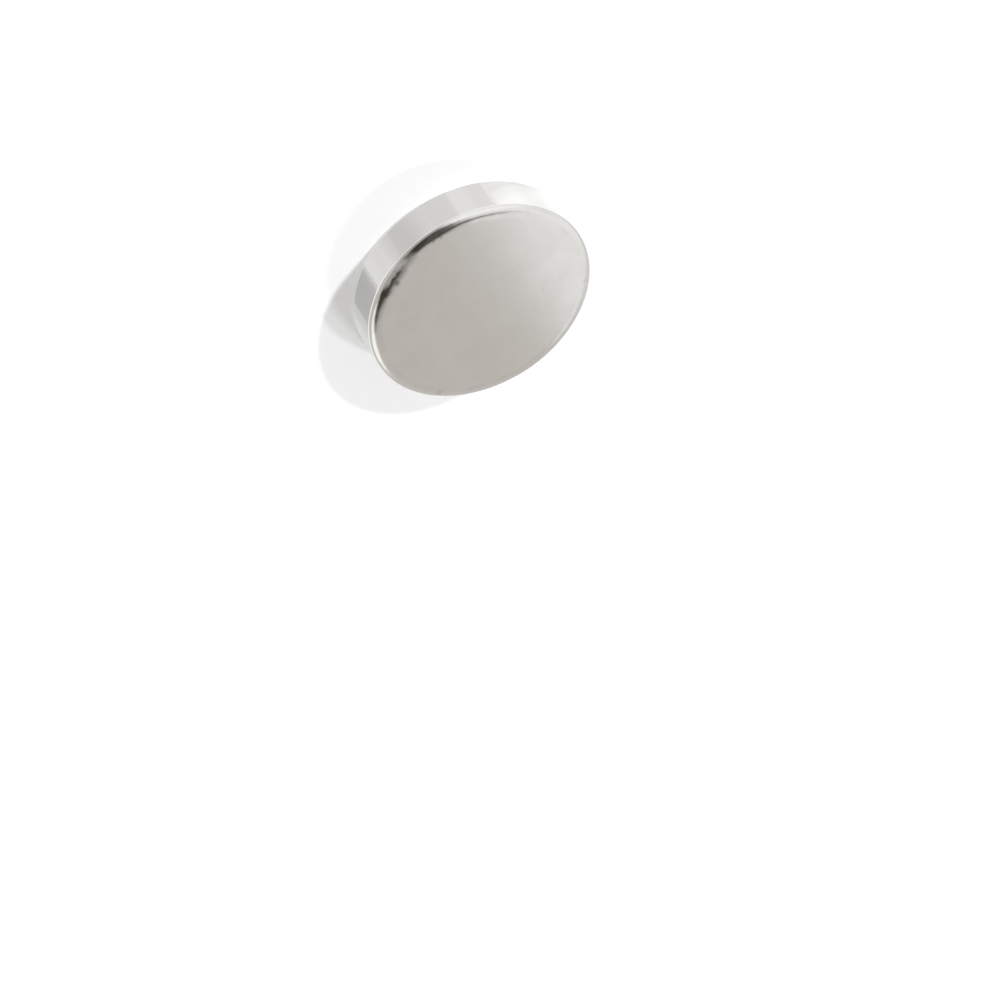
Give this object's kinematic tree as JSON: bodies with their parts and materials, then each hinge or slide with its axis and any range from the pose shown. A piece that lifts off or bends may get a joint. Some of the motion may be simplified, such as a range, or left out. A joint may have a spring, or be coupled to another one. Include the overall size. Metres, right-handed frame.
{
  "type": "disc magnet",
  "caption": "Small solid round disc magnet with flat faces, a straight plain rim, softly rounded edges and a bright nickel-plated skin.",
  "frame": {"origin": "middle of the lower flat face, which the disc lies on", "axes": "+Z along the disc's axis, out of its upper flat face; X and Y are any two directions across it"},
  "size_m": [0.008, 0.008, 0.0015],
  "materials": {
    "nickel_plating": "gloss"
  },
  "bodies": {
    "root": {"magnet_disc": "nickel_plating"}
  },
  "joints": []
}
